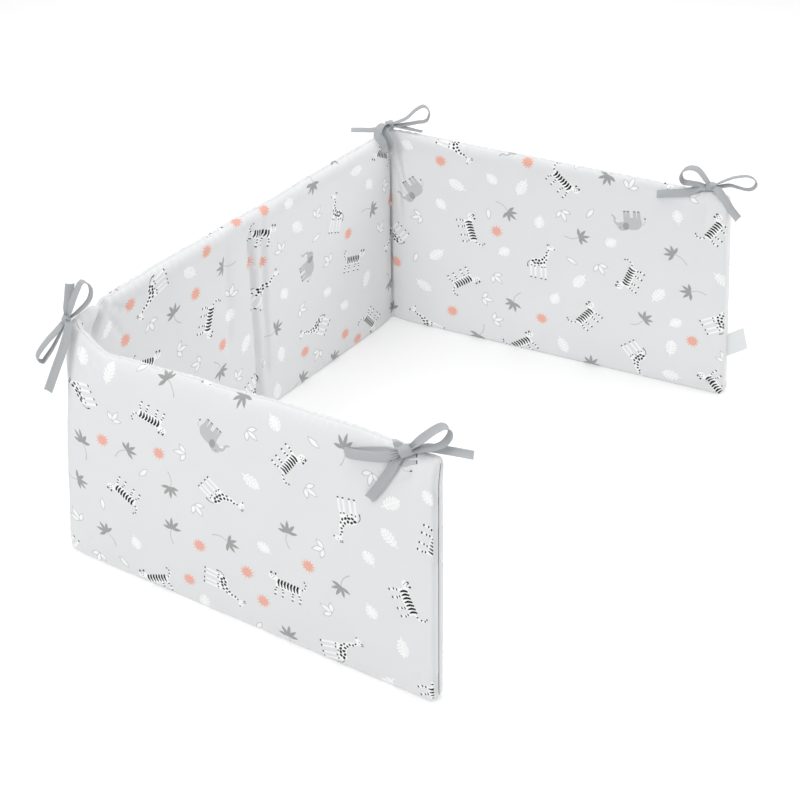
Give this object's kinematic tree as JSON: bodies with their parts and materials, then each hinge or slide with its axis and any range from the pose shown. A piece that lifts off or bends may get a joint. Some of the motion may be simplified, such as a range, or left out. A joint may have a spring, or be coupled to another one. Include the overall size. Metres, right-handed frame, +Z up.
{
  "type": "crib bumper",
  "caption": "Padded cot bumper standing in a folded zigzag, for lining the inside of a cot's sides, with fabric tie bows on its top edge.",
  "frame": {"origin": "centre of the footprint of the standing bumper, on the surface it stands on", "axes": "+Z up; +Y away from the viewer of the picture; +X to the viewer's right"},
  "size_m": [0.959, 0.8077, 0.4101],
  "materials": {
    "cover_cloth": "matt printed cotton",
    "tie_cloth": "matt cotton strip",
    "label_cloth": "smooth woven tape"
  },
  "bodies": {
    "root": {"bumper_pad": "cover_cloth", "tie_near_end": "tie_cloth", "tie_left_corner": "tie_cloth", "tie_back_corner": "tie_cloth", "tie_right_end": "tie_cloth", "side_label": "label_cloth"}
  },
  "joints": []
}
